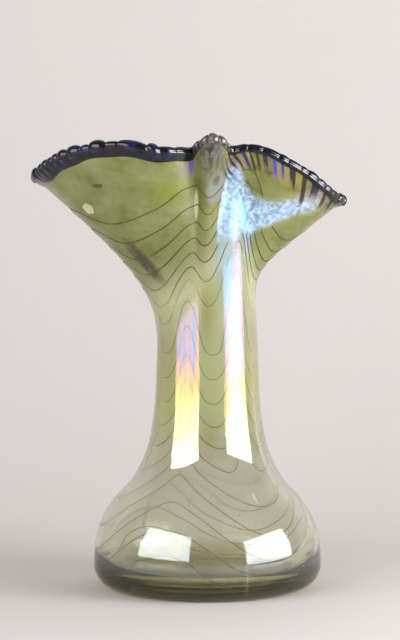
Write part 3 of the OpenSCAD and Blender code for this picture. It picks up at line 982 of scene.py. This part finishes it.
class VASE_OT_wrap_lip(bpy.types.Operator):
    """Coil dark glass round the lip and crimp it"""

    bl_idname = "vase.wrap_lip"
    bl_label = "Wrap the Lip"

    def execute(self, context):
        size = context.scene.vase_trim
        skin = Skin(context.scene.vase_glass)
        n = 1152  # points round the coil
        angles = all_round(n)
        edge = skin.point(angles, FULL_RISE)
        out = skin.normal(angles, FULL_RISE)
        upward = unit(edge - skin.point(angles, FULL_RISE - 1))
        stride = np.linalg.norm(np.roll(edge, -1, 0) - edge, axis=-1)
        # the crimps are close together at the tips of the lobes and far apart between them
        spacing = from_table(CRIMP_SPACING, angles)
        along = np.concatenate([[0], np.cumsum(stride / spacing)])
        count = round(along[-1] / (size.crimp_pitch / MM))
        crimps = along[:-1] / along[-1] * count
        dice = np.random.default_rng(7)
        jitter = dice.uniform(-0.3, 0.3, count + 1)
        jitter[0] = jitter[-1] = 0
        crimps = np.interp(crimps, np.arange(count + 1) + jitter, np.arange(count + 1))
        heights = dice.uniform(0.2, 1.0, count)[np.floor(crimps).astype(int) % count]
        heights = heights * (1 - 0.45 * step_up(14, 26, angles) * (1 - step_up(78, 90, angles)))
        fold = np.exp(-(((angles - 3) / 10) ** 4))
        width = size.wrap_width / MM * from_table(WRAP_SHARE, angles) * (1 - 0.45 * fold)
        waver = 0.09 * np.sin(np.radians(angles * 9)) + 0.06 * np.sin(np.radians(angles * 23))
        width = width * (1 + waver)
        thick = size.wrap_thickness / MM
        back = edge - skin.lip_wall * out
        # the section from its lower edge, by how far down the wall and how far off it (per width)
        down = np.array([1, 0.985, 0.94, 0.85, 0.72, 0.58, 0.44, 0.3, 0.18, 0.08])
        proud = np.array([-0.05, 0.28, 0.55, 0.8, 0.95, 1.0, 1.0, 1.0, 1.05, 1.1])
        sharing = np.array([0, 0, 0.02, 0.05, 0.1, 0.18, 0.28, 0.4, 0.6, 0.85])
        rows, push, sway = [], [], []
        # millimetres of wall to a unit of rise, next to the lip
        mm_per_rise = np.linalg.norm(edge - skin.point(angles, FULL_RISE - 10), axis=-1) / 10
        for d, p, s in zip(down, proud, sharing):
            rise = FULL_RISE - d * width / mm_per_rise
            rows.append(skin.off(angles, rise, thick * p * np.ones(n)))
            push.append(skin.normal(angles, rise))
            sway.append(s)
        middle = (edge + back) / 2
        reach = skin.lip_wall / 2 + thick * 0.5
        for turn in range(0, 181, 20):
            t = math.radians(turn)
            ray = math.cos(t) * out + math.sin(t) * upward
            rows.append(middle + (reach - 0.3 * thick * max(turn - 90, 0) / 90) * ray)
            push.append(ray)
            sway.append(1.0 if turn < 130 else 0.5)
        for d, p in ((1.2, 0.5), (2.4, 0.2), (3.2, -0.2)):
            rows.append(back - d * upward - thick * p * out)
            push.append(-out)
            sway.append(0.1)
        rows.append(middle - 2.5 * upward)
        push.append(out)
        sway.append(0.0)
        total = len(rows)
        values = {
            "crimps": np.tile(crimps, total),
            "height": np.tile(heights, total),
            "share": np.repeat(sway, n),
            "push": np.concatenate(push),
        }
        mesh = smooth_mesh("lip_wrap_coil", np.concatenate(rows), ring_faces(total, n, True), values)
        inputs = {
            "Crimp Height": size.crimp_height,
            "Material": rim_glass(context.scene.vase_colours),
        }
        finish_piece(grown("crimped_lip_wrap", mesh, crimp_tree(), inputs), ["lip_wrap"])
        return {"FINISHED"}


def comb(angle, rise):
    """How far the comb pulls the trail up: three festoons on the bulb, six on neck and mouth.

    Six troughs stand 60 degrees apart, one of them at +6. The crest before it drifts from -24 on
    the neck to the crease of the mouth.
    """
    low = np.minimum(17, 0.7 * rise) * (1 - step_up(50, 120, rise))
    high = 15 * step_up(45, 115, rise) - 9 * step_up(145, 200, rise)
    crest = -24 + 14 * step_up(165, 230, rise)
    left = np.pi * (angle - crest) / (crest + 54)
    right = np.pi * (angle - crest) / (6 - crest)
    u = np.where(angle < crest, left, right)
    u = np.where((angle > -54) & (angle < 6), u, np.radians(6 * (angle - 36)))
    swung = u + math.radians(25) * np.sin(u)
    return low * np.cos(np.radians(3 * (angle + 23))) + high * np.cos(swung)


def combed(angle, base):
    """Rise of the turn that was wound at rise base."""
    rise = np.full_like(angle, base)
    for _ in range(8):
        rise = base + comb(angle, rise)
    return np.maximum(rise, 3.5)


class VASE_OT_wind_trail(bpy.types.Operator):
    """Wind the trail round the bubble, turn by turn, and comb it into festoons"""

    bl_idname = "vase.wind_trail"
    bl_label = "Wind the Trail"

    def execute(self, context):
        size = context.scene.vase_trim
        skin = Skin(context.scene.vase_glass)
        tree = thread_tree()
        glass = thread_glass(context.scene.vase_colours)
        low, high = size.turn_pitch / MM, size.flare_pitch / MM
        angles = all_round(720)
        edges = [(k, (k + 1) % len(angles)) for k in range(len(angles))]
        for number, name in enumerate(THREADS, 1):
            base = 12 + low * min(number - 1, 11) + high * max(number - 12, 0)
            rise = combed(angles, base)
            # nearer the skin in the mouth, but deeper under the painted sheen, which hides it
            depth = size.thread_depth / MM * (1 - 0.4 * step_up(160, 200, rise))
            depth = depth + 0.5 * lustre_map(angles, rise, 0)["painted_sheen_mask"]
            path = skin.off(angles, rise, -depth)
            mesh = bpy.data.meshes.new(name)
            mesh.from_pydata((path * MM).tolist(), edges, [])
            radius = size.thread_radius * (1 + 0.45 * float(step_up(9, 14, number)))
            inputs = {"Radius": radius, "Seed": float(number), "Material": glass}
            piece = grown("trail_" + name, mesh, tree, inputs)
            finish_piece(piece, [name])
        return {"FINISHED"}


class VASE_OT_press_chips(bpy.types.Operator):
    """Melt the shards of coloured glass into the left lobe"""

    bl_idname = "vase.press_chips"
    bl_label = "Press in the Chips"

    def execute(self, context):
        skin = Skin(context.scene.vase_glass)
        dark = chip_glass("melted_dark_shard", "#3f4424", "#55592e")
        pale = chip_glass("melted_pale_shard", "#b9b894", "#a8aa7c")
        brown = chip_glass("melted_brown_shard", "#463d30", "#5e5640")
        # name, node, slot, material, and its lumps: angle, rise, size across, up and proud, lean
        chips = [
            ("dark_shard", "dark_chip", "chip_dark_glass", dark, [(-55.4, 239.5, (6.2, 3.4, 0.6), 0)]),
            ("pale_shard", "pale_chip", "chip_pale_glass", pale, [(-69, 234, (8, 9, 0.5), 0)]),
            ("brown_shards", "dark_smear", "chip_dark_glass", brown,
             [(-60.5, 213, (3, 11, 0.5), 20), (-54.5, 200, (2.6, 12, 0.5), 20)]),
        ]
        for name, cad_node, slot, material, lumps in chips:
            parts = [self.lump(skin, *lump) for lump in lumps]
            points = np.concatenate([p for p, _ in parts])
            starts = np.cumsum([0] + [len(p) for p, _ in parts])
            faces = [[i + int(s) for i in f] for (_, fs), s in zip(parts, starts) for f in fs]
            mesh = smooth_mesh(name, points, faces)
            mesh.materials.append(material)
            finish_piece(new_object(name, mesh), [cad_node])
        return {"FINISHED"}

    def lump(self, skin, angle, rise, size, lean):
        """A flat, uneven bead that stands just proud of the skin, as points and faces."""
        columns, rows = 48, 12
        turn = np.arange(columns) * 2 * math.pi / columns
        at = skin.point(angle, rise)
        out = skin.normal(angle, rise)
        side = unit(np.cross([0, 0, 1], out))
        upward = np.cross(out, side)
        lean = math.radians(lean)
        across = math.cos(lean) * side + math.sin(lean) * upward
        along = math.cos(lean) * upward - math.sin(lean) * side
        uneven = 1 + 0.1 * np.sin(2 * turn + 1) + 0.06 * np.sin(5 * turn)
        points = []
        for tilt in np.linspace(-math.pi / 2, math.pi / 2, rows + 1)[1:-1]:
            r = math.cos(tilt) * uneven / 2
            offs = (r * np.cos(turn) * size[0])[:, None] * across
            offs = offs + (r * np.sin(turn) * size[1])[:, None] * along
            points.append(at + offs + ((math.sin(tilt) - 1) * size[2] * 0.5 + SHARD_PROUD) * out)
        faces = ring_faces(len(points), columns) + cap_faces(len(points), columns)
        poles = [at + (SHARD_PROUD - size[2]) * out, at + SHARD_PROUD * out]
        return np.vstack([*points, *poles]), faces


class VASE_OT_trap_seeds(bpy.types.Operator):
    """Trap small bubbles of air within the wall"""

    bl_idname = "vase.trap_seeds"
    bl_label = "Trap the Seeds"

    def execute(self, context):
        skin = Skin(context.scene.vase_glass)
        n = 96
        angles = all_round(n)
        rises = np.linspace(12, 225, 60)
        rows = [skin.off(angles, rise, -0.55 * skin.glass_at(rise) * np.ones(n)) for rise in rises]
        mesh = smooth_mesh("within_the_wall", np.concatenate(rows), ring_faces(len(rows), n))
        inputs = {"Density": context.scene.vase_trim.seed_density, "Material": trapped_air()}
        finish_piece(grown("air_seeds", mesh, seed_tree(), inputs), [])
        return {"FINISHED"}


def look_at(piece, target):
    """Turns a lamp or camera to face a point."""
    direction = Vector(target) - piece.location
    piece.rotation_euler = direction.to_track_quat("-Z", "Y").to_euler()


class VASE_OT_set_stage(bpy.types.Operator):
    """Set up the paper, the lights and the camera"""

    bl_idname = "vase.set_stage"
    bl_label = "Set the Stage"

    def execute(self, context):
        scene = context.scene
        studio = scene.vase_studio
        self.lay_paper(sweep_paper(scene.vase_colours))
        away = studio.softbox_distance
        self.hang_softbox("softbox_left", place(-45, away, 0.35), (0.82, 0.58), studio.left_power)
        self.hang_softbox("softbox_right", place(65, away, 0.245), (0.80, 0.46), studio.right_power)
        # the lamp shows through the middle of the right softbox's cloth
        core = place(65, away - 0.02, 0.25)
        self.hang_softbox("softbox_right_core", core, (0.5, 0.3), studio.core_power)
        size = (1.4, 0.3)
        wall_light = self.hang_softbox("wall_light", (0.15, 0.2, 1.25), size, studio.wall_power)
        look_at(wall_light, (0.1, 0.68, 0.4))
        world = bpy.data.worlds.new("room")
        world.use_nodes = True
        background = world.node_tree.nodes["Background"]
        background.inputs["Color"].default_value = linear("#f2efed")
        background.inputs["Strength"].default_value = studio.room_light
        scene.world = world
        scene.view_settings.view_transform = "Standard"
        lens = bpy.data.cameras.new("camera")
        lens.sensor_width = SENSOR_MM
        lens.lens = studio.lens
        camera = bpy.data.objects.new("camera", lens)
        scene.collection.objects.link(camera)
        aside = -4.6 * MM  # the camera looks past the axis by this much
        camera.location = (aside, -studio.camera_distance, studio.camera_height)
        look_at(camera, (aside, 0, 0.166))
        scene.camera = camera
        return {"FINISHED"}

    def lay_paper(self, paper):
        """A round floor that curves up into a wall all the way round, a little behind the vase."""
        centre_y, radius, curve = -1.62, 2.3, 0.52
        profile = [(r, 0.0) for r in np.linspace(0.15, radius - curve, 14)]
        for turn in np.radians(np.arange(4, 91, 4)):
            profile.append((radius - curve + curve * math.sin(turn), curve * (1 - math.cos(turn))))
        profile += [(radius, z) for z in np.linspace(curve + 0.1, 2.2, 8)]
        n = 128
        angles = all_round(n)
        rows = [place(angles, r, z) + [0, centre_y, 0] for r, z in profile]
        middle = n * len(rows)
        faces = [f[::-1] for f in ring_faces(len(rows), n)]
        faces += [[middle, k, (k + 1) % n] for k in range(n)]
        points = np.vstack([*rows, [[0, centre_y, 0]]]) / MM
        mesh = smooth_mesh("paper_sweep", points, faces)
        mesh.materials.append(paper)
        new_object("paper_sweep", mesh)
        # plain floor beyond the sweep, seen from the sides and the back
        rim = place(angles, 6, -0.001)
        points = np.vstack([rim, [[0, 0, -0.001]]]) / MM
        mesh = smooth_mesh("studio_floor", points, [[n, k, (k + 1) % n] for k in range(n)])
        mesh.materials.append(paper)
        new_object("studio_floor", mesh)

    def hang_softbox(self, name, middle, size, watts):
        """Hangs a softbox that faces the axis of the vase at its own height."""
        light = bpy.data.lights.new(name, "AREA")
        light.shape = "RECTANGLE"
        light.size, light.size_y = size
        light.energy = watts
        lamp = bpy.data.objects.new(name, light)
        bpy.context.scene.collection.objects.link(lamp)
        lamp.location = middle
        look_at(lamp, (0, 0, middle[2]))
        return lamp


class VASE_PT_panel(bpy.types.Panel):
    """The vase's sizes, colours and pieces"""

    bl_label = "Blown Glass Vase"
    bl_idname = "VASE_PT_panel"
    bl_space_type = "VIEW_3D"
    bl_region_type = "UI"
    bl_category = "Vase"

    def draw(self, context):
        for label, group in GROUPS.items():
            box = self.layout.box()
            for setting in group.__annotations__:
                box.prop(getattr(context.scene, label), setting)
        for operator in OPERATORS:
            self.layout.operator(operator.bl_idname)


GROUPS = {
    "vase_glass": VASE_PG_glass,
    "vase_trim": VASE_PG_trim,
    "vase_colours": VASE_PG_colours,
    "vase_studio": VASE_PG_studio,
}
OPERATORS = [
    VASE_OT_set_stage,
    VASE_OT_blow_body,
    VASE_OT_wrap_lip,
    VASE_OT_wind_trail,
    VASE_OT_press_chips,
    VASE_OT_trap_seeds,
]


def register():
    for made in [*GROUPS.values(), *OPERATORS, VASE_PT_panel]:
        bpy.utils.register_class(made)
    for label, group in GROUPS.items():
        setattr(bpy.types.Scene, label, PointerProperty(type=group))


def unregister():
    for label in GROUPS:
        delattr(bpy.types.Scene, label)
    for made in [VASE_PT_panel, *OPERATORS, *GROUPS.values()]:
        bpy.utils.unregister_class(made)


def main():
    register()
    bpy.ops.vase.set_stage()
    bpy.ops.vase.blow_body()
    bpy.ops.vase.wrap_lip()
    bpy.ops.vase.wind_trail()
    bpy.ops.vase.press_chips()
    bpy.ops.vase.trap_seeds()


if __name__ == "__main__":
    main()
